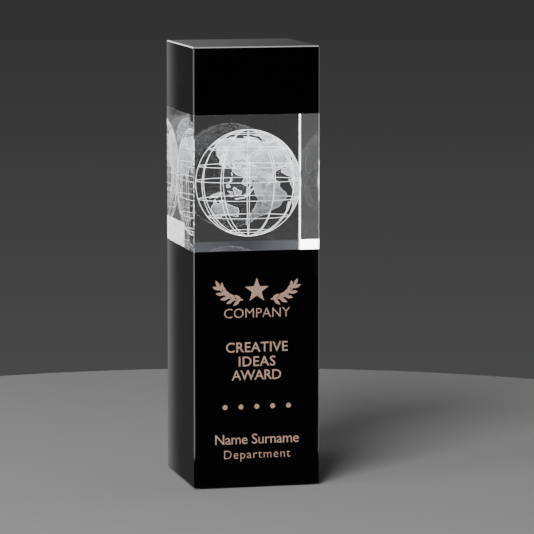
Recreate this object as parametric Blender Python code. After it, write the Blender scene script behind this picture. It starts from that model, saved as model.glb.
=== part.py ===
"""A square crystal column award: a black crystal base with a colour-filled engraving, a clear block and a black cap.

Metres, +Z up. The origin is the centre of the footprint, where the felt pad meets the table. -Y is the front.
"""
from math import atan2, cos, pi, radians, sin

import bmesh
import bpy
from mathutils import Matrix

# The blocks
SIDE = 0.060
BASE_HEIGHT = 0.1105
CLEAR_HEIGHT = 0.0632
CAP_HEIGHT = 0.0312
CHAMFER = 0.0005

# The cement between two blocks, and the felt under the base
SEAM = 0.0003
BOND_THICKNESS = 0.0001
BOND_INSET = 0.0006
PAD_THICKNESS = 0.0006
PAD_GAP = 0.0002
PAD_INSET = 0.0020
PAD_CORNER = 0.0030
PAD_CORNER_STEPS = 4

# The engraving: how deep it is cut, and the room that the dried paint leaves round itself
CUT_DEPTH = 0.00040
PAINT_SUNK = 0.00004
PAINT_BEHIND = 0.00006
PAINT_BESIDE = 0.00003
CUT_OVERRUN = 0.0010
CURVE_STEPS = 3

# The lines of lettering: words, height of the baseline above the base block's underside, height of a capital,
# extra thickness of the strokes as a share of that height, and letter spacing
LINES = {
    "company": ("COMPANY", 0.0795, 0.0044, 0.000, 1.02),
    "title_upper": ("CREATIVE", 0.0634, 0.0045, 0.022, 1.03),
    "title_middle": ("IDEAS", 0.0567, 0.0045, 0.022, 1.06),
    "title_lower": ("AWARD", 0.0503, 0.0045, 0.022, 0.94),
    "name": ("Name Surname", 0.0201, 0.0046, 0.012, 0.96),
    "department": ("Department", 0.0132, 0.0040, 0.000, 1.12),
}
# Only the heavy lettering is thick enough for its paint to be a solid of its own
PAINTED_LINES = ("title_upper", "title_middle", "title_lower")

DOT_COUNT = 5
DOT_PITCH = 0.0076
DOT_RADIUS = 0.0012
DOT_SIDES = 16
DOT_HEIGHT = 0.0376

# The emblem: a five-pointed star between two sprays of leaves
EMBLEM_HEIGHT = 0.0922
STAR_RADIUS = 0.0060
STAR_POINTS = 5
STAR_WAIST = 0.40
STEM_START = (0.0066, -0.0042)
STEM_BEND = (0.0145, -0.0052)
STEM_END = (0.0180, 0.0022)
STEM_WIDTH = 0.0006
STEM_STEPS = 8
LEAF_LENGTH = 0.0043
LEAF_WIDTH = 0.0016
LEAF_STEPS = 5
LEAF_PAIRS = 5
LEAF_FIRST_AT = 0.20
LEAF_STAGGER = 0.25
LEAF_SPREAD = radians(38)
TIP_LEAF_AT = 0.94

# The heights that follow from them
BASE_BOTTOM = PAD_THICKNESS + PAD_GAP
BASE_TOP = BASE_BOTTOM + BASE_HEIGHT
CLEAR_BOTTOM = BASE_TOP + SEAM
CLEAR_TOP = CLEAR_BOTTOM + CLEAR_HEIGHT
CAP_BOTTOM = CLEAR_TOP + SEAM
FRONT = -SIDE / 2


def clear_scene():
    for item in list(bpy.data.objects):
        bpy.data.objects.remove(item, do_unlink=True)


def material(name, colour, roughness, metallic=0.0, transmission=0.0):
    made = bpy.data.materials.new(name)
    made.use_nodes = True
    made.diffuse_color = (*colour, 1.0)
    shader = made.node_tree.nodes["Principled BSDF"]
    shader.inputs["Base Color"].default_value = (*colour, 1.0)
    shader.inputs["Roughness"].default_value = roughness
    shader.inputs["Metallic"].default_value = metallic
    shader.inputs["Transmission Weight"].default_value = transmission
    return made


def black_crystal(name):
    return material(name, (0.004, 0.004, 0.004), 0.03)


def clear_crystal(name):
    return material(name, (0.98, 0.99, 0.99), 0.02, transmission=1.0)


def cement(name):
    return material(name, (0.95, 0.95, 0.93), 0.20, transmission=1.0)


def copper_paint(name):
    return material(name, (0.60, 0.34, 0.22), 0.45, metallic=0.3)


def felt(name):
    return material(name, (0.015, 0.015, 0.016), 0.95)


def add_object(name, mesh, finish):
    made = bpy.data.objects.new(name, mesh)
    bpy.context.scene.collection.objects.link(made)
    mesh.materials.clear()
    mesh.materials.append(finish(name + "_finish"))
    return made


def prism(outline, low, high, name="prism"):
    """A closed solid: an outline in x and y, drawn up from low to high."""
    shape = bmesh.new()
    floor = shape.faces.new([shape.verts.new((x, y, low)) for x, y in outline])
    grown = bmesh.ops.extrude_face_region(shape, geom=[floor])["geom"]
    tops = [item for item in grown if isinstance(item, bmesh.types.BMVert)]
    bmesh.ops.translate(shape, verts=tops, vec=(0, 0, high - low))
    bmesh.ops.recalc_face_normals(shape, faces=shape.faces)
    mesh = bpy.data.meshes.new(name)
    shape.to_mesh(mesh)
    shape.free()
    return mesh


def square(half, corner=0.0, steps=1):
    """A square outline whose corners are cut or rounded by corner."""
    if corner == 0:
        return [(-half, -half), (half, -half), (half, half), (-half, half)]
    points = []
    for quarter in range(4):
        middle = pi / 4 + quarter * pi / 2
        centre_x = (half - corner) * (1 if cos(middle) > 0 else -1)
        centre_y = (half - corner) * (1 if sin(middle) > 0 else -1)
        for step in range(steps + 1):
            angle = middle - pi / 4 + step / steps * pi / 2
            points.append((centre_x + corner * cos(angle), centre_y + corner * sin(angle)))
    return points


def block(name, low, high, finish, free_end=None):
    """A crystal block with chamfered upright edges. free_end is the height of the end whose rim is chamfered too."""
    made = add_object(name, prism(square(SIDE / 2), low, high, name), finish)
    weights = made.data.attributes.new("bevel_weight_edge", "FLOAT", "EDGE")
    for edge in made.data.edges:
        heights = [made.data.vertices[index].co.z for index in edge.vertices]
        upright = abs(heights[0] - heights[1]) > CHAMFER
        at_free_end = free_end is not None and abs(sum(heights) / 2 - free_end) < CHAMFER
        weights.data[edge.index].value = 1.0 if upright or at_free_end else 0.0
    bevel = made.modifiers.new("chamfer", "BEVEL")
    bevel.limit_method = "WEIGHT"
    bevel.width = CHAMFER
    bevel.segments = 1
    return made


def evaluated_mesh(source):
    depsgraph = bpy.context.evaluated_depsgraph_get()
    return bpy.data.meshes.new_from_object(source.evaluated_get(depsgraph))


def to_front(mesh, back, front):
    """Stands a mesh drawn flat, from z = 0 to 1, against the front face: z = 0 goes to y = back and z = 1 to front."""
    stand = Matrix(((1, 0, 0, 0), (0, 0, front - back, back), (0, 1, 0, BASE_BOTTOM), (0, 0, 0, 1)))
    mesh.transform(stand)
    shape = bmesh.new()
    shape.from_mesh(mesh)
    bmesh.ops.recalc_face_normals(shape, faces=shape.faces)
    shape.to_mesh(mesh)
    shape.free()
    return mesh


def lettering(line, inset):
    """One line of words as flat solids from z = 0 to 1, with every outline drawn in by inset."""
    words, baseline, capital, thicken, spacing = LINES[line]
    curve = bpy.data.curves.new(line, "FONT")
    curve.body = words
    curve.align_x = "CENTER"
    curve.size = capital / capital_share()
    curve.space_character = spacing
    curve.offset = thicken * capital - inset
    curve.resolution_u = CURVE_STEPS
    curve.extrude = 0.5
    drawn = bpy.data.objects.new(line, curve)
    bpy.context.scene.collection.objects.link(drawn)
    mesh = evaluated_mesh(drawn)
    bpy.data.objects.remove(drawn, do_unlink=True)
    mesh.transform(Matrix.Translation((0, baseline, 0.5)))
    weld(mesh)
    return mesh


def capital_share():
    """The height of a capital in the built-in font, as a share of its size."""
    curve = bpy.data.curves.new("capital", "FONT")
    curve.body = "H"
    drawn = bpy.data.objects.new("capital", curve)
    bpy.context.scene.collection.objects.link(drawn)
    mesh = evaluated_mesh(drawn)
    bpy.data.objects.remove(drawn, do_unlink=True)
    return max(vertex.co.y for vertex in mesh.vertices)


def weld(mesh, distance=1e-6):
    shape = bmesh.new()
    shape.from_mesh(mesh)
    bmesh.ops.remove_doubles(shape, verts=shape.verts, dist=distance)
    shape.to_mesh(mesh)
    shape.free()


def islands(mesh):
    """The separate solids in a mesh, each as a mesh of its own, from left to right."""
    whole = bmesh.new()
    whole.from_mesh(mesh)
    unseen = set(whole.verts)
    groups = []
    while unseen:
        group = set()
        edge_of = [unseen.pop()]
        while edge_of:
            vertex = edge_of.pop()
            group.add(vertex)
            near = {edge.other_vert(vertex) for edge in vertex.link_edges} & unseen
            unseen -= near
            edge_of.extend(near)
        groups.append(group)
    groups.sort(key=lambda group: min(vertex.co.x for vertex in group))
    made = []
    for group in groups:
        part = bmesh.new()
        copies = {vertex: part.verts.new(vertex.co) for vertex in sorted(group, key=lambda vertex: vertex.index)}
        for face in whole.faces:
            if face.verts[0] in group:
                part.faces.new([copies[vertex] for vertex in face.verts])
        piece = bpy.data.meshes.new("letter")
        part.to_mesh(piece)
        part.free()
        made.append(piece)
    whole.free()
    return made


def joined(meshes):
    """Several solids that stay clear of each other, as one mesh."""
    shape = bmesh.new()
    for mesh in meshes:
        shape.from_mesh(mesh)
    made = bpy.data.meshes.new("joined")
    shape.to_mesh(made)
    shape.free()
    return made


def star(grow):
    radii = (STAR_RADIUS + grow, STAR_RADIUS * STAR_WAIST + grow)
    points = []
    for corner in range(2 * STAR_POINTS):
        angle = pi / 2 + corner * pi / STAR_POINTS
        points.append((radii[corner % 2] * cos(angle), EMBLEM_HEIGHT + radii[corner % 2] * sin(angle)))
    return prism(points, 0, 1)


def stem_point(share, side):
    """A point on the stem's middle line and the stem's direction there."""
    start, bend, end = STEM_START, STEM_BEND, STEM_END
    place = [(1 - share) ** 2 * s + 2 * share * (1 - share) * b + share**2 * e for s, b, e in zip(start, bend, end)]
    run = [2 * (1 - share) * (b - s) + 2 * share * (e - b) for s, b, e in zip(start, bend, end)]
    return side * place[0], EMBLEM_HEIGHT + place[1], atan2(run[1], side * run[0])


def stem(side, grow):
    left = []
    right = []
    for step in range(STEM_STEPS + 1):
        x, y, heading = stem_point(step / STEM_STEPS, side)
        half = STEM_WIDTH / 2 + grow
        left.append((x - half * sin(heading), y + half * cos(heading)))
        right.append((x + half * sin(heading), y - half * cos(heading)))
    return prism(left + right[::-1], 0, 1)


def leaf(x, y, heading, grow):
    """A leaf that starts at x, y and points along heading: two arcs that meet at its ends."""
    length = LEAF_LENGTH + 2 * grow
    width = LEAF_WIDTH + 2 * grow
    upper = []
    lower = []
    for step in range(1, LEAF_STEPS):
        along = length * step / LEAF_STEPS - grow
        across = width / 2 * sin(pi * step / LEAF_STEPS)
        upper.append((along, across))
        lower.append((along, -across))
    outline = [(-grow, 0)] + lower + [(length - grow, 0)] + upper[::-1]
    turned = [(x + a * cos(heading) - b * sin(heading), y + a * sin(heading) + b * cos(heading)) for a, b in outline]
    return prism(turned, 0, 1)


def spray(side, grow):
    """A stem with leaves on both sides and one at its tip, joined into one solid."""
    leaves = []
    for pair in range(LEAF_PAIRS):
        for hand in (1, -1):
            share = (pair + LEAF_FIRST_AT + LEAF_STAGGER * (hand < 0)) / LEAF_PAIRS
            x, y, heading = stem_point(share, side)
            leaves.append(leaf(x, y, heading + hand * side * LEAF_SPREAD, grow))
    leaves.append(leaf(*stem_point(TIP_LEAF_AT, side), grow))
    body = bpy.data.objects.new("stem", stem(side, grow))
    bpy.context.scene.collection.objects.link(body)
    added = []
    for mesh in leaves:
        cutter = bpy.data.objects.new("leaf", mesh)
        bpy.context.scene.collection.objects.link(cutter)
        union = body.modifiers.new("leaf", "BOOLEAN")
        union.operation = "UNION"
        union.object = cutter
        added.append(cutter)
    mesh = evaluated_mesh(body)
    for item in [body, *added]:
        bpy.data.objects.remove(item, do_unlink=True)
    return mesh


def dot(index, grow):
    middle = (index - (DOT_COUNT - 1) / 2) * DOT_PITCH
    radius = DOT_RADIUS + grow
    turns = [2 * pi * side / DOT_SIDES for side in range(DOT_SIDES)]
    return prism([(middle + radius * cos(turn), DOT_HEIGHT + radius * sin(turn)) for turn in turns], 0, 1)


def engrave(base):
    """Cuts every mark into the front of the base."""
    shapes = [lettering(line, 0) for line in LINES]
    shapes += [star(PAINT_BESIDE), spray(-1, PAINT_BESIDE), spray(1, PAINT_BESIDE)]
    shapes += [dot(index, PAINT_BESIDE) for index in range(DOT_COUNT)]
    cutter_mesh = to_front(joined(shapes), FRONT + CUT_DEPTH, FRONT - CUT_OVERRUN)
    cutter = bpy.data.objects.new("engraving_cutter", cutter_mesh)
    bpy.context.scene.collection.objects.link(cutter)
    cutter.hide_render = True
    cutter.display_type = "WIRE"
    cut = base.modifiers.new("engraving", "BOOLEAN")
    cut.operation = "DIFFERENCE"
    cut.solver = "EXACT"
    cut.use_self = True
    cut.object = cutter


def paint(name, mesh):
    """The dried paint in one engraved mark."""
    return add_object(name, to_front(mesh, FRONT + CUT_DEPTH - PAINT_BEHIND, FRONT + PAINT_SUNK), copper_paint)


def paint_emblem():
    paint("emblem_star_paint", star(0))
    paint("emblem_left_spray_paint", spray(-1, 0))
    paint("emblem_right_spray_paint", spray(1, 0))


def paint_dots():
    for index in range(DOT_COUNT):
        paint(f"dot_paint_{index + 1}", dot(index, 0))


def paint_lettering():
    for line in PAINTED_LINES:
        for index, letter in enumerate(islands(lettering(line, PAINT_BESIDE))):
            paint(f"{line}_letter_{index + 1}", letter)


def bond(name, seam_bottom):
    """A film of clear cement in the middle of a seam."""
    low = seam_bottom + (SEAM - BOND_THICKNESS) / 2
    return add_object(name, prism(square(SIDE / 2 - BOND_INSET), low, low + BOND_THICKNESS, name), cement)


def base_pad():
    outline = square(SIDE / 2 - PAD_INSET, PAD_CORNER, PAD_CORNER_STEPS)
    return add_object("base_pad", prism(outline, 0, PAD_THICKNESS, "base_pad"), felt)


def build():
    clear_scene()
    base_pad()
    engrave(block("base_column", BASE_BOTTOM, BASE_TOP, black_crystal, free_end=BASE_BOTTOM))
    bond("lower_bond", BASE_TOP)
    block("clear_block", CLEAR_BOTTOM, CLEAR_TOP, clear_crystal)
    bond("upper_bond", CLEAR_TOP)
    block("cap_block", CAP_BOTTOM, CAP_BOTTOM + CAP_HEIGHT, black_crystal, free_end=CAP_BOTTOM + CAP_HEIGHT)
    paint_emblem()
    paint_dots()
    paint_lettering()


build()
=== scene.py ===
from math import cos, pi, radians, sin

import bmesh
import bpy
from mathutils import Matrix, Vector


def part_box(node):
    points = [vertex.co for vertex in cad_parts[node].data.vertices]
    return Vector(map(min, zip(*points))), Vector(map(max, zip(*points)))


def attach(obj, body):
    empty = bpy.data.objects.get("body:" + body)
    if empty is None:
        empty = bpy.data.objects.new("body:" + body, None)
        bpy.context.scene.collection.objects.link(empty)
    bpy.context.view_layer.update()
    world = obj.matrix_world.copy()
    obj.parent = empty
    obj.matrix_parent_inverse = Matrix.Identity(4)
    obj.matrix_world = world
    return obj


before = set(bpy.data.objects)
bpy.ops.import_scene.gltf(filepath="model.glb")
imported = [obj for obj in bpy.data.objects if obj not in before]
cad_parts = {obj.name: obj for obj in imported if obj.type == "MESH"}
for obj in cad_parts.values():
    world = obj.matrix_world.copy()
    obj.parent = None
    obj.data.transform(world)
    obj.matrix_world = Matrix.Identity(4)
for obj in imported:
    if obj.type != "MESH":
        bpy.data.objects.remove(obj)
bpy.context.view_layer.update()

# ----------------------------------------------------------------------------------------------------------
# Felt pad: a thin sheet of black pressed felt, die-cut with round corners and glued under the base so that
# the heavy glass doesn't mark a desk. Only its edge shows.


def new_material(name):
    made = bpy.data.materials.new(name)
    made.use_nodes = True
    return made, made.node_tree, made.node_tree.nodes["Principled BSDF"]


def add_node(tree, kind, **values):
    """A node with its properties set by name and its unlinked inputs set by socket name."""
    node = tree.nodes.new(kind)
    for name, value in values.items():
        if name in node.inputs:
            node.inputs[name].default_value = value
        else:
            setattr(node, name, value)
    return node


def set_inputs(node, values):
    for label, value in values.items():
        node.inputs[label].default_value = value


def object_coordinates(tree):
    return tree.nodes.new("ShaderNodeTexCoord").outputs["Object"]


def noise(tree, place, **values):
    texture = add_node(tree, "ShaderNodeTexNoise", **values)
    tree.links.new(place, texture.inputs["Vector"])
    return texture.outputs["Fac"]


def multiply(tree, first, second):
    product = add_node(tree, "ShaderNodeMath", operation="MULTIPLY")
    tree.links.new(first, product.inputs[0])
    tree.links.new(second, product.inputs[1])
    return product.outputs["Value"]


def blend(tree, value, low, high):
    """The colour that belongs to a value between two stops. Each stop is a position and a colour."""
    ramp = tree.nodes.new("ShaderNodeValToRGB")
    for stop, (position, colour) in zip(ramp.color_ramp.elements, (low, high)):
        stop.position = position
        stop.color = (*colour, 1)
    tree.links.new(value, ramp.inputs["Fac"])
    return ramp.outputs["Color"]


def add_relief(tree, shader, height, strength, distance):
    """Makes a surface catch the light as if it rose and fell with a height."""
    relief = add_node(tree, "ShaderNodeBump", Strength=strength, Distance=distance)
    tree.links.new(height, relief.inputs["Height"])
    tree.links.new(relief.outputs["Normal"], shader.inputs["Normal"])


def dress(node_name, finish):
    """Puts a finish on a CAD node."""
    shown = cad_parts[node_name]
    shown.data.materials.clear()
    shown.data.materials.append(finish)
    return shown


def felt_finish():
    finish, tree, shader = new_material("black_felt")
    place = object_coordinates(tree)
    fibres = noise(tree, place, Scale=5200.0, Detail=6.0, Roughness=0.75)
    clumps = noise(tree, place, Scale=420.0, Detail=3.0)
    thickness = multiply(tree, fibres, clumps)
    shade = blend(tree, thickness, (0.0, (0.004, 0.004, 0.005)), (1.0, (0.045, 0.044, 0.046)))
    tree.links.new(shade, shader.inputs["Base Color"])
    add_relief(tree, shader, fibres, strength=0.8, distance=0.0002)
    set_inputs(shader, {"Roughness": 0.95, "Sheen Weight": 0.4})
    return finish


dress("base_pad", felt_finish())

# ----------------------------------------------------------------------------------------------------------
# Black crystal: the base column, and the cap on top of the stack, are solid black optical glass. The faces
# are ground and polished flat. The upright edges and the free ends have a narrow polished chamfer.


def map_range(tree, value, before, after):
    """Carries a value from one range over to another."""
    node = tree.nodes.new("ShaderNodeMapRange")
    tree.links.new(value, node.inputs["Value"])
    labels = ("From Min", "From Max", "To Min", "To Max")
    set_inputs(node, dict(zip(labels, (*before, *after))))
    return node.outputs["Result"]


def black_crystal_finish():
    """Black glass with the wiping haze and the faint hairlines of a hand-polished face."""
    finish, tree, shader = new_material("black_crystal")
    place = object_coordinates(tree)
    haze = noise(tree, place, Scale=38.0, Detail=4.0, Roughness=0.6)
    stretch = tree.nodes.new("ShaderNodeMapping")
    set_inputs(stretch, {"Scale": (1.0, 1.0, 0.04), "Rotation": (radians(12), radians(8), 0)})
    tree.links.new(place, stretch.inputs["Vector"])
    hairs = noise(tree, stretch.outputs["Vector"], Scale=900.0, Detail=2.0)
    tree.links.new(map_range(tree, haze, (0.35, 0.75), (0.012, 0.05)), shader.inputs["Roughness"])
    add_relief(tree, shader, hairs, strength=0.04, distance=0.00002)
    set_inputs(shader, {"Base Color": (0.0012, 0.0008, 0.0010, 1), "IOR": 1.5, "Specular IOR Level": 0.25})
    return finish


black_crystal = black_crystal_finish()
base_low, base_high = (Vector(corner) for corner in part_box("base_column"))
dress("base_column", black_crystal)

# ----------------------------------------------------------------------------------------------------------
# Copper paint: the front is engraved with a laser and the marks are wiped full of copper-coloured lacquer,
# which dries just under the polished face. The star, the sprays, the dots and the bold title are CAD solids.

DOTS = [f"dot_paint_{number}" for number in range(1, 6)]
EMBLEM = ["emblem_star_paint", "emblem_left_spray_paint", "emblem_right_spray_paint"]
TITLE_LETTERS = {"upper": 8, "middle": 5, "lower": 5}


def copper_finish():
    finish, tree, shader = new_material("copper_paint")
    place = object_coordinates(tree)
    flakes = add_node(tree, "ShaderNodeTexVoronoi", Scale=7000.0)
    tree.links.new(place, flakes.inputs["Vector"])
    cloud = noise(tree, place, Scale=600.0, Detail=5.0, Roughness=0.6)
    shade = blend(tree, cloud, (0.30, (0.80, 0.49, 0.34)), (0.70, (1.0, 0.70, 0.52)))
    gloss = map_range(tree, flakes.outputs["Distance"], (0.0, 1.0), (0.35, 0.60))
    tree.links.new(shade, shader.inputs["Base Color"])
    tree.links.new(gloss, shader.inputs["Roughness"])
    add_relief(tree, shader, flakes.outputs["Distance"], strength=0.5, distance=0.00003)
    set_inputs(shader, {"Metallic": 0.10})
    return finish


copper = copper_finish()
title = [
    f"title_{line}_letter_{number}"
    for line, count in TITLE_LETTERS.items()
    for number in range(1, count + 1)
]
for painted in DOTS + EMBLEM + title:
    dress(painted, copper)

# ----------------------------------------------------------------------------------------------------------
# Small lettering: the lines for the company, the winner's name and the department are engraved with the rest,
# and wiped with the same copper paint. The base column has their cuts, and their paint is made here.

CUT_DEPTH = 0.00040
PAINT_BEHIND = 0.00006
PAINT_SUNK = 0.00004
PAINT_BESIDE = 0.00003
LETTER_CURVE_STEPS = 3
# Words, height of the baseline above the base's underside, height of a capital, stroke thickening, spacing
SMALL_LINES = {
    "company": ("COMPANY", 0.0795, 0.0044, 0.000, 1.02),
    "name": ("Name Surname", 0.0201, 0.0046, 0.012, 0.96),
    "department": ("Department", 0.0132, 0.0040, 0.000, 1.12),
}


def text_mesh(words, size, thickness, offset=0.0, spacing=1.0):
    """Words from the built-in font as a closed mesh, lying flat and centred."""
    curve = bpy.data.curves.new(words, "FONT")
    curve.body = words
    curve.align_x = "CENTER"
    curve.size = size
    curve.offset = offset
    curve.space_character = spacing
    curve.resolution_u = LETTER_CURVE_STEPS
    curve.extrude = thickness / 2
    drawn = bpy.data.objects.new(words, curve)
    bpy.context.scene.collection.objects.link(drawn)
    mesh = bpy.data.meshes.new_from_object(drawn.evaluated_get(bpy.context.evaluated_depsgraph_get()))
    bpy.data.objects.remove(drawn)
    bpy.data.curves.remove(curve)
    return mesh


SAME_PLACE = 1e-7
SAME_DEPTH_DIGITS = 7


def close_up(mesh):
    """Joins the corners that share a place, evens out the triangles of the front and the back, and turns
    every face outwards."""
    shape = bmesh.new()
    shape.from_mesh(mesh)
    bmesh.ops.remove_doubles(shape, verts=shape.verts, dist=SAME_PLACE)
    flat = []
    for face in shape.faces:
        if len({round(corner.co.y, SAME_DEPTH_DIGITS) for corner in face.verts}) == 1:
            flat.append(face)
    on_flat = set(flat)
    inner = [edge for edge in shape.edges if all(face in on_flat for face in edge.link_faces)]
    bmesh.ops.beautify_fill(shape, faces=flat, edges=inner)
    bmesh.ops.recalc_face_normals(shape, faces=shape.faces)
    shape.to_mesh(mesh)
    shape.free()


def add_piece(name, mesh, finish):
    """A finished piece of the object, which rides on its one body. A mesh without a finish gets this one."""
    if not mesh.materials:
        mesh.materials.append(finish)
    piece = bpy.data.objects.new(name, mesh)
    bpy.context.scene.collection.objects.link(piece)
    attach(piece, "root")
    return piece


capital_share = max(vertex.co.y for vertex in text_mesh("H", 1.0, 0.1).vertices)
for line, (words, baseline, capital, thicken, spacing) in SMALL_LINES.items():
    thickness = CUT_DEPTH - PAINT_BEHIND - PAINT_SUNK
    offset = thicken * capital - PAINT_BESIDE
    mesh = text_mesh(words, capital / capital_share, thickness, offset, spacing)
    middle_y = base_low.y + PAINT_SUNK + thickness / 2
    stand = Matrix.Translation((0, middle_y, base_low.z + baseline)) @ Matrix.Rotation(pi / 2, 4, "X")
    mesh.transform(stand)
    close_up(mesh)
    add_piece(f"{line}_paint", mesh, copper)

# ----------------------------------------------------------------------------------------------------------
# Cement: the clear block is bonded between the two black ones with cement, cured with ultraviolet light. The
# film between the faces is a tenth of a millimetre thick, and a rim of cement fills the seam round it. Real
# cement of this kind is clear, and this finish is much darker than that.


def cement_finish():
    finish, tree, shader = new_material("cement")
    ripple = noise(tree, object_coordinates(tree), Scale=160.0, Detail=3.0)
    add_relief(tree, shader, ripple, strength=0.15, distance=0.00002)
    set_inputs(shader, {"Base Color": (0.12, 0.12, 0.12, 1), "Transmission Weight": 1.0})
    set_inputs(shader, {"Roughness": 0.05, "IOR": 1.5})
    return finish


# Each rim stops just short of the blocks' faces and cuts the corners as their chamfers do
RIM_SET_BACK = 0.00002
RIM_WIDTH = 0.00055
RIM_CLEARANCE = 0.00001
CORNER_CUT = 0.0005


def seam_rim(name, seam_low, seam_high, half_side):
    """A square ring with cut corners that fills one seam's outer edge."""
    corners = []
    for x_sign, y_sign in ((1, 1), (-1, 1), (-1, -1), (1, -1)):
        ends = [(1, 1 - CORNER_CUT / half_side), (1 - CORNER_CUT / half_side, 1)]
        if x_sign != y_sign:
            ends.reverse()
        corners += [(x_sign * across, y_sign * along) for across, along in ends]
    count = len(corners)
    points = []
    for half in (half_side - RIM_SET_BACK, half_side - RIM_SET_BACK - RIM_WIDTH):
        for height in (seam_low + RIM_CLEARANCE, seam_high - RIM_CLEARANCE):
            points += [(half * across, half * along, height) for across, along in corners]
    faces = []
    for index in range(count):
        after = (index + 1) % count
        faces.append((index, after, count + after, count + index))
        faces.append((2 * count + after, 2 * count + index, 3 * count + index, 3 * count + after))
        faces.append((count + index, count + after, 3 * count + after, 3 * count + index))
        faces.append((index, 2 * count + index, 2 * count + after, after))
    mesh = bpy.data.meshes.new(name)
    mesh.from_pydata(points, [], faces)
    add_piece(name, mesh, cement)


cement = cement_finish()
dress("lower_bond", cement)
dress("upper_bond", cement)
clear_low, clear_high = (Vector(corner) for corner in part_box("clear_block"))
cap_low = Vector(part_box("cap_block")[0])
seam_rim("lower_seam_rim", base_high.z, clear_low.z, base_high.x)
seam_rim("upper_seam_rim", clear_high.z, cap_low.z, base_high.x)

# ----------------------------------------------------------------------------------------------------------
# Clear crystal: a block of water-clear optical glass, polished on all six faces and chamfered on its upright
# edges. Its faces mirror the etching where the eye meets them at a low angle from inside.

GLASS_INDEX = 1.52


def clear_crystal_finish():
    """Clear glass with the faintest veins of a cooler tint."""
    finish, tree, shader = new_material("clear_crystal")
    veins = noise(tree, object_coordinates(tree), Scale=45.0, Detail=2.0, Distortion=1.5)
    tint = blend(tree, veins, (0.35, (0.965, 0.975, 0.985)), (0.65, (0.995, 0.998, 1.0)))
    tree.links.new(tint, shader.inputs["Base Color"])
    set_inputs(shader, {"Roughness": 0.0, "Transmission Weight": 1.0, "IOR": GLASS_INDEX})
    return finish


dress("clear_block", clear_crystal_finish())

# ----------------------------------------------------------------------------------------------------------
# Etched globe, lines: a laser focused inside the glass leaves strings of tiny white fractures. They draw
# twelve meridians and seven parallels of a globe 50 mm across.

GLOBE_RADIUS = 0.0250
GLOBE_RISE = 0.0297
LINE_RADIUS = 0.00008
MERIDIAN_RINGS = 6
PARALLELS = (-65, -39, -17, 3, 19, 40, 68)
RING_STEPS = 120
LINE_SIDES = 6
GLOBE_OFF_CENTRE = 0.0005
# The lines stand nearly upright, with one meridian towards a viewer to the left of the front
LINES_TURN = radians(-9.8)
LINES_LEAN = radians(-0.6)
globe_centre = Vector((GLOBE_OFF_CENTRE, 0, clear_low.z + GLOBE_RISE))


# Strength of the painted glow of the etched lines and coasts, which stands in for the light their fractures
# scatter
LINE_GLOW = 4.2
COAST_GLOW = 3.0
ETCHED_ROUGHNESS = 0.9


def etched_finish(name, glow):
    """White fractured glass. Real fractures scatter the light that reaches them, and these glow instead."""
    finish, tree, shader = new_material(name)
    grain = noise(tree, object_coordinates(tree), Scale=2600.0, Detail=3.0, Roughness=0.7)
    shade = blend(tree, grain, (0.35, (0.52, 0.52, 0.55)), (0.60, (0.95, 0.95, 0.96)))
    tree.links.new(shade, shader.inputs["Base Color"])
    tree.links.new(shade, shader.inputs["Emission Color"])
    set_inputs(shader, {"Emission Strength": glow, "Roughness": ETCHED_ROUGHNESS})
    return finish


etched_line = etched_finish("etched_line", LINE_GLOW)
etched_coast = etched_finish("etched_coast", COAST_GLOW)


def new_tree(name, inputs):
    """A geometry tree with its named inputs, each a socket type and a value, and one geometry output."""
    tree = bpy.data.node_groups.new(name, "GeometryNodeTree")
    tree.interface.new_socket(name="Geometry", in_out="INPUT", socket_type="NodeSocketGeometry")
    for label, (kind, value) in inputs.items():
        socket = tree.interface.new_socket(name=label, in_out="INPUT", socket_type=kind)
        socket.default_value = value
    tree.interface.new_socket(name="Geometry", in_out="OUTPUT", socket_type="NodeSocketGeometry")
    return tree, tree.nodes.new("NodeGroupInput"), tree.nodes.new("NodeGroupOutput")


def run_tree(start, tree, settings):
    """Runs a geometry tree on a mesh and gives back the mesh that it makes."""
    carrier = bpy.data.objects.new("carrier", start)
    bpy.context.scene.collection.objects.link(carrier)
    modifier = carrier.modifiers.new("tree", "NODES")
    modifier.node_group = tree
    identifiers = {item.name: item.identifier for item in tree.interface.items_tree if item.in_out == "INPUT"}
    for label, value in settings.items():
        modifier[identifiers[label]] = value
    made = bpy.data.meshes.new_from_object(carrier.evaluated_get(bpy.context.evaluated_depsgraph_get()))
    carrier.modifiers.remove(modifier)
    bpy.data.objects.remove(carrier)
    return made


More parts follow.
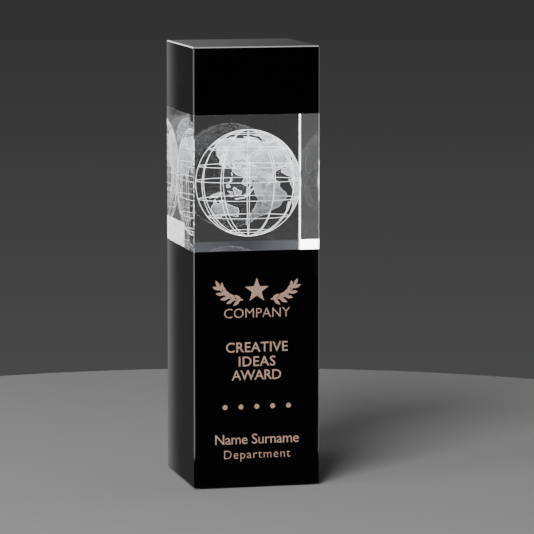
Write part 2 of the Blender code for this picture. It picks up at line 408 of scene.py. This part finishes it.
def ring_tree(material):
    """Puts a ring of its own radius on each point, turned as the point says, and thickens every ring."""
    inputs = {
        "Thickness": ("NodeSocketFloat", LINE_RADIUS),
        "Steps": ("NodeSocketInt", RING_STEPS),
        "Sides": ("NodeSocketInt", LINE_SIDES),
    }
    tree, start, end = new_tree("etched rings", inputs)
    ring = tree.nodes.new("GeometryNodeCurvePrimitiveCircle")
    section = tree.nodes.new("GeometryNodeCurvePrimitiveCircle")
    ring.inputs["Radius"].default_value = 1.0
    place = tree.nodes.new("GeometryNodeInstanceOnPoints")
    radius = add_node(tree, "GeometryNodeInputNamedAttribute", data_type="FLOAT", Name="ring_radius")
    turn = add_node(tree, "GeometryNodeInputNamedAttribute", data_type="FLOAT_VECTOR", Name="ring_turn")
    rotation = tree.nodes.new("FunctionNodeEulerToRotation")
    realize = tree.nodes.new("GeometryNodeRealizeInstances")
    thicken = tree.nodes.new("GeometryNodeCurveToMesh")
    finish = tree.nodes.new("GeometryNodeSetMaterial")
    finish.inputs["Material"].default_value = material
    tree.links.new(start.outputs["Steps"], ring.inputs["Resolution"])
    tree.links.new(start.outputs["Sides"], section.inputs["Resolution"])
    tree.links.new(start.outputs["Thickness"], section.inputs["Radius"])
    tree.links.new(start.outputs["Geometry"], place.inputs["Points"])
    tree.links.new(ring.outputs["Curve"], place.inputs["Instance"])
    tree.links.new(turn.outputs["Attribute"], rotation.inputs["Euler"])
    tree.links.new(rotation.outputs["Rotation"], place.inputs["Rotation"])
    tree.links.new(radius.outputs["Attribute"], place.inputs["Scale"])
    tree.links.new(place.outputs["Instances"], realize.inputs["Geometry"])
    tree.links.new(realize.outputs["Geometry"], thicken.inputs["Curve"])
    tree.links.new(section.outputs["Curve"], thicken.inputs["Profile Curve"])
    tree.links.new(thicken.outputs["Mesh"], finish.inputs["Geometry"])
    tree.links.new(finish.outputs["Geometry"], end.inputs["Geometry"])
    return tree


def ring_points(rings):
    """A mesh of loose points, one for each ring: its centre, its radius and how it is turned."""
    mesh = bpy.data.meshes.new("rings")
    mesh.from_pydata([centre for centre, _, _ in rings], [], [])
    radii = mesh.attributes.new("ring_radius", "FLOAT", "POINT")
    turns = mesh.attributes.new("ring_turn", "FLOAT_VECTOR", "POINT")
    for index, (_, radius, turn) in enumerate(rings):
        radii.data[index].value = radius
        turns.data[index].vector = turn
    return mesh


rings_drawn = ring_tree(etched_line)
stand_lines = Matrix.Rotation(LINES_TURN, 3, "Z") @ Matrix.Rotation(LINES_LEAN, 3, "X")
meridians = []
upright = Matrix.Rotation(pi / 2, 3, "X")
for index in range(MERIDIAN_RINGS):
    turned = stand_lines @ Matrix.Rotation(index * pi / MERIDIAN_RINGS, 3, "Z") @ upright
    meridians.append((globe_centre, GLOBE_RADIUS, turned.to_euler()))
parallels = []
for latitude in PARALLELS:
    centre = globe_centre + stand_lines @ Vector((0, 0, GLOBE_RADIUS * sin(radians(latitude))))
    parallels.append((centre, GLOBE_RADIUS * cos(radians(latitude)), stand_lines.to_euler()))
for name, rings in (("etched_meridians", meridians), ("etched_parallels", parallels)):
    mesh = run_tree(ring_points(rings), rings_drawn, {"Thickness": LINE_RADIUS})
    add_piece(name, mesh, etched_line)

# ----------------------------------------------------------------------------------------------------------
# Etched globe, land: each continent is a thin cloud of the same white fractures, laid on the sphere and
# closer together along its coast. The finest of them are made as one frosted sheet, and the rest as dots.
# Outlines are longitude and latitude in degrees, going round each land once.

NORTH_AMERICA = [
    (-168, 66), (-161, 64), (-165, 61), (-158, 58.6), (-164, 55), (-154, 57), (-151, 60), (-145, 60.3),
    (-137, 58.5), (-133, 55), (-128, 51), (-124, 48), (-124, 42), (-121, 36), (-117, 32.5), (-115, 30),
    (-112, 26), (-110, 23), (-113, 30), (-109, 26), (-105, 21), (-100, 17), (-94, 16), (-88, 13),
    (-85, 10), (-80, 7.3), (-77.5, 8.4), (-82, 9.6), (-83.5, 14.8), (-88, 15.8), (-87, 21.3),
    (-90.3, 21.1), (-91, 18.7), (-95, 18.5), (-97.5, 22), (-97, 27.5), (-93, 29.6), (-89, 29.4),
    (-84, 30), (-81.6, 25.5), (-80.3, 27), (-81.3, 31), (-76, 35.5), (-74.5, 39.5), (-70, 42),
    (-66, 44.7), (-61, 46), (-65, 49), (-57, 51.5), (-61, 56.5), (-65, 60), (-70, 61.5), (-78, 62.2),
    (-77, 57), (-79.5, 53), (-81, 51.3), (-83, 55.2), (-92, 57), (-94.5, 60), (-88, 64), (-82, 68),
    (-95, 68.3), (-108, 68), (-124, 70), (-135, 69.3), (-150, 70.6), (-157, 71.3), (-165, 69),
]
ARCTIC_CANADA = [
    (-80, 73.5), (-70, 71), (-62, 66.5), (-66, 62.5), (-74, 65), (-73, 68), (-86, 70), (-89, 73.3),
]
VICTORIA_ISLAND = [(-117, 69.7), (-104, 69), (-104, 72.6), (-118, 73)]
GREENLAND = [
    (-44, 60), (-52, 64.5), (-54, 70), (-59, 75.5), (-71, 77.5), (-60, 82), (-33, 83.5), (-17, 80),
    (-21, 73), (-32, 68), (-41, 64),
]
CUBA = [(-84.8, 22), (-80, 23.2), (-74.3, 20.3), (-78, 20.2)]
HISPANIOLA = [(-74.3, 18.4), (-72.5, 19.9), (-68.5, 18.6)]
SOUTH_AMERICA = [
    (-77.5, 8.4), (-72, 12), (-62, 10.6), (-57, 6), (-51, 4.3), (-50, 0), (-44, -2.7), (-37, -4.7),
    (-35, -8), (-39, -14), (-40, -20), (-48, -26), (-53, -33.5), (-58, -36), (-62, -39), (-65, -42),
    (-66, -47), (-69, -51), (-66, -55), (-72, -54), (-75.5, -49), (-73.5, -40), (-71.5, -30),
    (-70.4, -19), (-76, -14), (-81.2, -5), (-80, 0), (-77.4, 4),
]
EURASIA = [
    (-9.3, 38.7), (-8.8, 37), (-5.5, 36), (-1, 37.5), (3, 42), (8.5, 44.3), (12.3, 41.7), (15.8, 38.2),
    (18.2, 40), (13, 43.8), (13.5, 45.5), (19.3, 42), (22.5, 36.8), (24, 40.5), (27, 37), (36, 36.4),
    (34.3, 31.2), (35.2, 28), (39, 21.5), (43.3, 12.8), (52, 16.3), (59.7, 22.4), (56.3, 26), (51, 24.8),
    (48.3, 30), (56.5, 27), (66.5, 25), (70, 21), (73, 18), (77.5, 8), (80.2, 14), (85.5, 20), (91, 22.5),
    (94.2, 17), (98, 15), (98.5, 9), (103.8, 1.4), (100.3, 8.5), (100.3, 13.3), (105, 8.8), (109.2, 12),
    (106, 18.6), (109, 21.5), (115, 22.8), (121, 27.8), (121.5, 32), (119.3, 35), (122.3, 37), (118, 39),
    (121.5, 40.7), (125, 39.6), (126.3, 34.5), (129.3, 36), (128, 39.8), (135, 43.5), (140.5, 49),
    (137, 54), (149, 59.5), (157, 61.5), (156, 52), (162.5, 57), (172, 60.5), (180, 63), (189, 65),
    (180, 69), (160, 69.8), (140, 72.6), (113, 74), (104, 77.6), (87, 75), (72, 72), (68, 68.7), (46, 68),
    (38, 64.5), (33, 66.5), (41, 66.6), (40, 67.6), (28, 71), (18, 69.5), (12, 65), (5, 61.5), (7, 58),
    (11, 59), (14, 55.5), (18.5, 60.5), (23, 65.7), (22, 60.5), (28, 60), (21, 56), (14, 54),
    (10.4, 57.5), (8.4, 54), (3, 51.4), (-4.6, 48.4), (-1.3, 45), (-2, 43.4), (-9, 43.3),
]
AFRICA = [
    (-6, 35.7), (10, 37.2), (11, 33.5), (19, 30.4), (23, 32.6), (32, 31.2), (35, 25), (37.3, 19.5),
    (43, 11.8), (51, 11.8), (47, 4.5), (40, -3), (39.5, -8), (40.6, -15), (35, -20), (32.8, -27),
    (27, -33.8), (19, -34.7), (15, -27), (12, -17), (13.5, -10), (9, -1), (9.5, 4), (1, 6), (-8, 4.5),
    (-13.5, 9), (-17.3, 14.7), (-16.5, 21), (-12.5, 28), (-9.5, 31.5),
]
MADAGASCAR = [(49.3, -12), (50, -16), (47, -25), (44, -24), (44.3, -16.5)]
AUSTRALIA = [
    (114, -22), (113.5, -26), (115.7, -31.5), (115.2, -34.3), (118.5, -35), (124, -33), (131, -31.5),
    (135.5, -34.8), (138, -33), (140, -37.5), (146.5, -39), (150, -37.3), (153, -31), (153, -25.5),
    (149, -21), (146, -18.8), (145, -14.8), (142.5, -10.8), (141, -16.5), (138, -17), (135.6, -14.5),
    (136.8, -12.2), (131, -11.5), (128.5, -15), (122.5, -17.8),
]
NEW_GUINEA = [
    (131, -1), (137, -1.7), (147, -6), (150.7, -10.5), (144, -8), (138, -8.3), (137, -4.8), (132.5, -3.8),
]
BORNEO = [(109, 1.5), (113, 3.3), (117, 7), (119, 5), (117.5, 1), (116, -4), (110.3, -3)]
SUMATRA = [(95.3, 5.7), (98.5, 4), (104, -1), (106, -3.2), (105.5, -5.8), (101, -3), (98, 1.5)]
JAVA = [(105.2, -6.1), (110, -6.4), (114.5, -7.8), (117, -8.3), (116, -9), (110, -8.2), (105.5, -7.2)]
SULAWESI = [(119.2, -5.5), (119.2, 0.5), (125, 1.6), (121.5, -1), (123.3, -4.5), (120.7, -5.5)]
LUZON = [(120.2, 16), (120.7, 18.6), (122.2, 18.4), (122, 14.5), (124, 12.8), (120.7, 13.7)]
MINDANAO = [(122, 7), (124, 10.8), (126, 9.5), (126.3, 6.5), (125, 5.7)]
TAIWAN = [(120.1, 23), (121.3, 25.3), (122, 25), (120.9, 22)]
HONSHU = [(130, 31.3), (130, 33.8), (136, 36), (140, 40.5), (141.8, 39.5), (140.6, 35.5), (135.5, 33.6)]
HOKKAIDO = [(140, 42), (141.8, 45.4), (145.4, 43.4), (142, 42.2)]
SAKHALIN = [(142, 46.2), (143.8, 49.5), (143, 54.2), (141.8, 51)]
SRI_LANKA = [(79.8, 8), (80.2, 9.8), (81.8, 7.3), (80.5, 6)]
BRITAIN = [(-5.5, 50), (1.4, 51.2), (0, 53.5), (-2, 57.5), (-5.5, 58.4), (-3, 54.5), (-4.8, 52)]
ICELAND = [(-23.5, 65.5), (-22, 64), (-18, 63.5), (-13.8, 65), (-17, 66.4)]

# How each land is bent on to the sphere: the longitude that faces the viewer, its lean towards the viewer,
# its turn in the plane of the view and how much its latitudes are squeezed. The lands of the Old World lie on
# the far side and show through the glass the wrong way round.
NORTH_SIDE = (-79, radians(-3.5), radians(1), 0.75)
SOUTH_SIDE = (-86.5, radians(-3.5), radians(13.5), 1.0)
FAR_SIDE = (-78.6, radians(-9.4), radians(-1.1), 0.845)
AFRICAN_SIDE = (-77.4, radians(-9.5), radians(3), 1.0)
LANDS = {
    "etched_north_america": (
        NORTH_SIDE,
        [NORTH_AMERICA, ARCTIC_CANADA, VICTORIA_ISLAND, CUBA, HISPANIOLA],
    ),
    "etched_greenland": (NORTH_SIDE, [GREENLAND]),
    "etched_south_america": (SOUTH_SIDE, [SOUTH_AMERICA]),
    "etched_eurasia": (
        FAR_SIDE,
        [EURASIA, BRITAIN, ICELAND, HONSHU, HOKKAIDO, SAKHALIN, TAIWAN, SRI_LANKA],
    ),
    "etched_africa": (AFRICAN_SIDE, [AFRICA, MADAGASCAR]),
    "etched_east_indies": (FAR_SIDE, [NEW_GUINEA, BORNEO, SUMATRA, JAVA, SULAWESI, LUZON, MINDANAO]),
    "etched_australia": (FAR_SIDE, [AUSTRALIA]),
}

DOT_SPACING = 0.00045
COAST_SPACING = 0.00012
DOT_RADIUS = 0.00009
CLOUD_DEPTH = 0.00006
SHEET_THICKNESS = 0.00020
PATCH_STEP = 5.0
DOT_SEGMENTS = 4
DOT_RINGS = 2
DOT_SIZES = (0.7, 1.2)
DENSEST = 1.0e8
# The frost's painted glow, and the heights below and above the globe's middle over which it is painted from
# dim to full
FROST_GLOW = 1.7
FROST_DIM_BELOW = 0.0155
FROST_FULL_ABOVE = 0.021

# The lands are laid out for a viewer who stands to the left of the front and looks slightly down
VIEWER_AZIMUTH = radians(-8.75)
VIEWER_ELEVATION = radians(4.6)


def land_patch(outlines, side):
    """Flat outlines in degrees, filled, cut into small faces and bent on to the sphere."""
    middle, lean, turn, squeeze = side
    shape = bmesh.new()
    for outline in outlines:
        corners = [shape.verts.new((longitude, latitude, 0)) for longitude, latitude in outline]
        face = shape.faces.new(corners)
        face.normal_update()
        if face.normal.z < 0:
            face.normal_flip()
    bmesh.ops.triangulate(shape, faces=shape.faces[:], ngon_method="EAR_CLIP")
    while True:
        long_edges = [edge for edge in shape.edges if edge.calc_length() > PATCH_STEP]
        if not long_edges:
            break
        bmesh.ops.subdivide_edges(shape, edges=long_edges, cuts=1)
        bmesh.ops.triangulate(shape, faces=[face for face in shape.faces if len(face.verts) > 3])
    to_viewer = Matrix.Rotation(VIEWER_AZIMUTH, 4, "Z") @ Matrix.Rotation(-VIEWER_ELEVATION, 4, "X")
    stand = to_viewer @ Matrix.Rotation(turn, 4, "Y") @ Matrix.Rotation(lean, 4, "X")
    for vertex in shape.verts:
        across = radians(vertex.co.x - middle)
        up = radians(vertex.co.y) * squeeze
        on_sphere = Vector((cos(up) * sin(across), -cos(up) * cos(across), sin(up))) * GLOBE_RADIUS
        vertex.co = globe_centre + stand @ on_sphere
    mesh = bpy.data.meshes.new("land")
    shape.to_mesh(mesh)
    shape.free()
    return mesh


def frost_finish():
    """A sheet of dots too small and close to tell apart. Its glow is painted light in place of the light that
    real fractures scatter, painted brighter towards the top of the globe as if lit from above. It hides a
    quarter to a half of what is behind it."""
    finish, tree, shader = new_material("etched_frost")
    place = object_coordinates(tree)
    grain = noise(tree, place, Scale=2600.0, Detail=2.0, Roughness=0.6)
    cloud = noise(tree, place, Scale=170.0, Detail=3.0, Roughness=0.6)
    both = multiply(tree, grain, cloud)
    shade = blend(tree, both, (0.17, (0.30, 0.33, 0.37)), (0.33, (0.97, 0.98, 1.0)))
    split = tree.nodes.new("ShaderNodeSeparateXYZ")
    tree.links.new(place, split.inputs["Vector"])
    # Painted light: the glow is scaled by height, dim low on the globe and full high on it, as if lit from
    # above
    heights = (globe_centre.z - FROST_DIM_BELOW, globe_centre.z + FROST_FULL_ABOVE)
    painted_glow_by_height = add_node(tree, "ShaderNodeVectorMath", operation="SCALE")
    tree.links.new(shade, painted_glow_by_height.inputs[0])
    tree.links.new(map_range(tree, split.outputs["Z"], heights, (0.04, 1.0)), painted_glow_by_height.inputs["Scale"])
    tree.links.new(shade, shader.inputs["Base Color"])
    tree.links.new(painted_glow_by_height.outputs["Vector"], shader.inputs["Emission Color"])
    tree.links.new(map_range(tree, grain, (0.30, 0.70), (0.25, 0.50)), shader.inputs["Alpha"])
    set_inputs(shader, {"Emission Strength": FROST_GLOW, "Roughness": ETCHED_ROUGHNESS})
    return finish


def land_tree(sheet_material, dot_material):
    """Thickens a surface into a closed sheet and scatters dots over it, with a close row along its edges."""
    inputs = {
        "Spacing": ("NodeSocketFloat", DOT_SPACING),
        "Coast Spacing": ("NodeSocketFloat", COAST_SPACING),
        "Dot Radius": ("NodeSocketFloat", DOT_RADIUS),
        "Depth": ("NodeSocketFloat", CLOUD_DEPTH),
        "Thickness": ("NodeSocketFloat", SHEET_THICKNESS),
        "Seed": ("NodeSocketInt", 0),
    }
    tree, start, end = new_tree("etched land", inputs)
    outside = add_node(tree, "GeometryNodeExtrudeMesh", mode="FACES")
    outside.inputs["Individual"].default_value = False
    inside = tree.nodes.new("GeometryNodeFlipFaces")
    two_sides = tree.nodes.new("GeometryNodeJoinGeometry")
    closed = tree.nodes.new("GeometryNodeMergeByDistance")
    closed.inputs["Distance"].default_value = SAME_PLACE
    frost = tree.nodes.new("GeometryNodeSetMaterial")
    frost.inputs["Material"].default_value = sheet_material
    whole = tree.nodes.new("GeometryNodeJoinGeometry")
    tree.links.new(start.outputs["Geometry"], outside.inputs["Mesh"])
    tree.links.new(start.outputs["Thickness"], outside.inputs["Offset Scale"])
    tree.links.new(start.outputs["Geometry"], inside.inputs["Mesh"])
    tree.links.new(outside.outputs["Mesh"], two_sides.inputs["Geometry"])
    tree.links.new(inside.outputs["Mesh"], two_sides.inputs["Geometry"])
    tree.links.new(two_sides.outputs["Geometry"], closed.inputs["Geometry"])
    tree.links.new(closed.outputs["Geometry"], frost.inputs["Geometry"])
    scatter = add_node(tree, "GeometryNodeDistributePointsOnFaces", distribute_method="POISSON")
    scatter.inputs["Density Max"].default_value = DENSEST
    faces_beside = tree.nodes.new("GeometryNodeInputMeshEdgeNeighbors")
    on_coast = add_node(tree, "FunctionNodeCompare", data_type="INT", operation="EQUAL")
    on_coast.inputs[3].default_value = 1
    coast = tree.nodes.new("GeometryNodeMeshToCurve")
    spaced = add_node(tree, "GeometryNodeResampleCurve", mode="LENGTH")
    coast_points = add_node(tree, "GeometryNodeCurveToPoints", mode="EVALUATED")
    every_point = tree.nodes.new("GeometryNodeJoinGeometry")
    stray = add_node(tree, "FunctionNodeRandomValue", data_type="FLOAT_VECTOR")
    stray.inputs[0].default_value = (-1, -1, -1)
    stray.inputs[1].default_value = (1, 1, 1)
    by_depth = add_node(tree, "ShaderNodeVectorMath", operation="SCALE")
    moved = tree.nodes.new("GeometryNodeSetPosition")
    dot = tree.nodes.new("GeometryNodeMeshUVSphere")
    dot.inputs["Segments"].default_value = DOT_SEGMENTS
    dot.inputs["Rings"].default_value = DOT_RINGS
    size = add_node(tree, "FunctionNodeRandomValue", data_type="FLOAT")
    size.inputs[2].default_value, size.inputs[3].default_value = DOT_SIZES
    tumble = add_node(tree, "FunctionNodeRandomValue", data_type="FLOAT_VECTOR")
    tumble.inputs[1].default_value = (pi, pi, pi)
    rotation = tree.nodes.new("FunctionNodeEulerToRotation")
    place = tree.nodes.new("GeometryNodeInstanceOnPoints")
    realize = tree.nodes.new("GeometryNodeRealizeInstances")
    finish = tree.nodes.new("GeometryNodeSetMaterial")
    finish.inputs["Material"].default_value = dot_material
    tree.links.new(start.outputs["Geometry"], scatter.inputs["Mesh"])
    tree.links.new(start.outputs["Spacing"], scatter.inputs["Distance Min"])
    tree.links.new(start.outputs["Geometry"], coast.inputs["Mesh"])
    tree.links.new(faces_beside.outputs["Face Count"], on_coast.inputs[2])
    tree.links.new(on_coast.outputs["Result"], coast.inputs["Selection"])
    tree.links.new(coast.outputs["Curve"], spaced.inputs["Curve"])
    tree.links.new(start.outputs["Coast Spacing"], spaced.inputs["Length"])
    tree.links.new(spaced.outputs["Curve"], coast_points.inputs["Curve"])
    tree.links.new(scatter.outputs["Points"], every_point.inputs["Geometry"])
    tree.links.new(coast_points.outputs["Points"], every_point.inputs["Geometry"])
    tree.links.new(every_point.outputs["Geometry"], moved.inputs["Geometry"])
    tree.links.new(stray.outputs[0], by_depth.inputs[0])
    tree.links.new(start.outputs["Depth"], by_depth.inputs["Scale"])
    tree.links.new(by_depth.outputs["Vector"], moved.inputs["Offset"])
    tree.links.new(start.outputs["Dot Radius"], dot.inputs["Radius"])
    tree.links.new(moved.outputs["Geometry"], place.inputs["Points"])
    tree.links.new(dot.outputs["Mesh"], place.inputs["Instance"])
    tree.links.new(tumble.outputs[0], rotation.inputs["Euler"])
    tree.links.new(rotation.outputs["Rotation"], place.inputs["Rotation"])
    tree.links.new(size.outputs[1], place.inputs["Scale"])
    for scattered in (scatter, stray, size, tumble):
        tree.links.new(start.outputs["Seed"], scattered.inputs["Seed"])
    tree.links.new(place.outputs["Instances"], realize.inputs["Geometry"])
    tree.links.new(realize.outputs["Geometry"], finish.inputs["Geometry"])
    tree.links.new(frost.outputs["Geometry"], whole.inputs["Geometry"])
    tree.links.new(finish.outputs["Geometry"], whole.inputs["Geometry"])
    tree.links.new(whole.outputs["Geometry"], end.inputs["Geometry"])
    return tree


etched_frost = frost_finish()
lands_drawn = land_tree(etched_frost, etched_coast)
for seed, (name, (side, outlines)) in enumerate(LANDS.items()):
    mesh = run_tree(land_patch(outlines, side), lands_drawn, {"Seed": seed})
    add_piece(name, mesh, etched_frost)

# ----------------------------------------------------------------------------------------------------------
# Cap: the block that closes the stack, cut and polished from the same black glass as the base. It is cemented
# on the clear block, and is chamfered on its upright edges and round its top.

dress("cap_block", black_crystal)

# ----------------------------------------------------------------------------------------------------------
# Studio: a small round pale table, a dark room and soft panels of light. The table is kept out of reflections
# and most of the panels light the glass only. The camera stands to the left of the front, a little above the
# column, with a long lens.

TABLE_RADIUS = 0.34
TABLE_STEPS = 128


def table():
    shape = bmesh.new()
    bmesh.ops.create_circle(shape, cap_ends=True, segments=TABLE_STEPS, radius=TABLE_RADIUS)
    mesh = bpy.data.meshes.new("table")
    shape.to_mesh(mesh)
    shape.free()
    finish, tree, shader = new_material("pale_table")
    shader.inputs["Base Color"].default_value = (0.62, 0.62, 0.62, 1)
    shader.inputs["Roughness"].default_value = 0.8
    mesh.materials.append(finish)
    made = bpy.data.objects.new("table", mesh)
    made.visible_glossy = False
    bpy.context.scene.collection.objects.link(made)


AIM_POINT = (0, 0, 0.1)


def softbox(name, place, width, height, stops, tint=(1, 1, 1), glass_only=False, aim=AIM_POINT):
    """A flat panel of soft light, turned towards a point. Each stop is a position across the panel, from its
    left edge to its right one for someone at the column, and the radiance there. A panel for the glass only
    is seen in it and through it, and lights nothing else."""
    lamp = bpy.data.lights.new(name, "AREA")
    lamp.shape = "RECTANGLE"
    lamp.size = width
    lamp.size_y = height
    lamp.energy = pi * width * height
    lamp.color = tint
    lamp.use_nodes = True
    tree = lamp.node_tree
    geometry = tree.nodes.new("ShaderNodeNewGeometry")
    across = tree.nodes.new("ShaderNodeSeparateXYZ")
    from_left = add_node(tree, "ShaderNodeMath", operation="SUBTRACT")
    from_left.inputs[0].default_value = 1.0
    shade = tree.nodes.new("ShaderNodeFloatCurve")
    brightest = max(value for _, value in stops)
    curve = shade.mapping.curves[0]
    while len(curve.points) < len(stops):
        curve.points.new(0.5, 0.5)
    for point, (position, value) in zip(curve.points, stops):
        point.location = (position, value / brightest)
        point.handle_type = "VECTOR"
    shade.mapping.update()
    scale = add_node(tree, "ShaderNodeMath", operation="MULTIPLY")
    scale.inputs[1].default_value = brightest
    tree.links.new(geometry.outputs["Parametric"], across.inputs["Vector"])
    tree.links.new(across.outputs["X"], from_left.inputs[1])
    tree.links.new(from_left.outputs["Value"], shade.inputs["Value"])
    tree.links.new(shade.outputs["Value"], scale.inputs[0])
    tree.links.new(scale.outputs["Value"], tree.nodes["Emission"].inputs["Strength"])
    made = bpy.data.objects.new(name, lamp)
    made.location = place
    made.rotation_mode = "QUATERNION"
    made.rotation_quaternion = (Vector(aim) - Vector(place)).to_track_quat("-Z", "Y")
    made.visible_camera = False
    made.visible_diffuse = not glass_only
    bpy.context.scene.collection.objects.link(made)


def room():
    """A dark grey room, a little lighter towards the floor."""
    world = bpy.data.worlds.new("room")
    world.use_nodes = True
    tree = world.node_tree
    shade = tree.nodes["Background"]
    direction = tree.nodes.new("ShaderNodeTexCoord").outputs["Generated"]
    split = tree.nodes.new("ShaderNodeSeparateXYZ")
    tree.links.new(direction, split.inputs["Vector"])
    grey = map_range(tree, split.outputs["Z"], (-0.15, -0.05), (0.072, 0.038))
    tree.links.new(grey, shade.inputs["Color"])
    bpy.context.scene.world = world


def camera():
    """Distances are in sides of the column, so that they follow its size."""
    side = base_high.x - base_low.x
    azimuth = radians(-13.374)
    elevation = radians(7.037)
    distance = 27.53
    target_across = 0.200
    target_up = 1.653
    target = Vector((target_across * side, 0, base_low.z + target_up * side))
    back = Vector((sin(azimuth) * cos(elevation), -cos(azimuth) * cos(elevation), sin(elevation)))
    lens = bpy.data.cameras.new("camera")
    lens.lens = 235.2
    lens.sensor_width = 36.0
    made = bpy.data.objects.new("camera", lens)
    made.location = target + back * distance * side
    made.rotation_mode = "QUATERNION"
    made.rotation_quaternion = (-back).to_track_quat("-Z", "Y")
    lens.clip_start = 0.05
    lens.clip_end = 20.0
    bpy.context.scene.collection.objects.link(made)
    bpy.context.scene.camera = made


table()
room()
softbox("key", (-0.9, -1.3, 1.2), 0.9, 0.9, [(0, 9), (1, 9)])
softbox("left_strip", (-1.2, -0.28, 0.10), 0.5, 0.6, [(0, 8), (1, 8)])
softbox("right_strip", (1.2, 0.28, 0.10), 0.4, 0.6, [(0, 2), (1, 2)])


def glass_card(name, place, width, height, stops, tint=(1, 1, 1)):
    """A panel for the glass only, which stands square to the front."""
    square_on = (place[0], 0, place[2])
    softbox(name, place, width, height, stops, tint, glass_only=True, aim=square_on)


glass_card("front_card", (0.0665, -0.15, 0.120), 0.017, 0.072, [(0, 0.8), (0.5, 0.3), (1, 0.12)])
edge = [(0, 0.02), (0.54, 0.03), (0.56, 0.08), (0.58, 0.22)]
edge += [(0.60, 0.52), (0.65, 0.3), (0.80, 0.07), (1, 0.07)]
glass_card("back_left_card", (-0.14, 0.50, 0.04), 0.12, 0.36, edge)
glass_card("top_card", (0.276, 1.2, 0.334), 0.14, 0.13, [(0, 0.17), (0.5, 0.11), (1, 0.06)])
ledge = [(0, 0.13), (0.5, 0.05), (1, 0.18)]
glass_card("ledge_card", (0.276, 1.2, 0.228), 0.12, 0.08, ledge, tint=(0.90, 0.94, 1.10))
glass_card("corner_card", (-0.268, 1.2, 0.26), 0.12, 0.10, [(0, 13), (1, 13)])
glass_card("left_ridge_card", (-0.105, 1.2, 0.495), 0.12, 0.12, [(0, 4), (1, 4)])

# One panel overhead faces straight down and lights the cap alone
overhead = (0.233, -0.09, 1.2)
below = (0.233, -0.09, 0)
softbox("front_ridge_card", overhead, 0.25, 0.25, [(0, 18), (1, 18)], glass_only=True, aim=below)
ridge_card = bpy.data.objects["front_ridge_card"]
cap_alone = bpy.data.collections.new("cap alone")
cap_alone.objects.link(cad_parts["cap_block"])
ridge_card.light_linking.receiver_collection = cap_alone
camera()
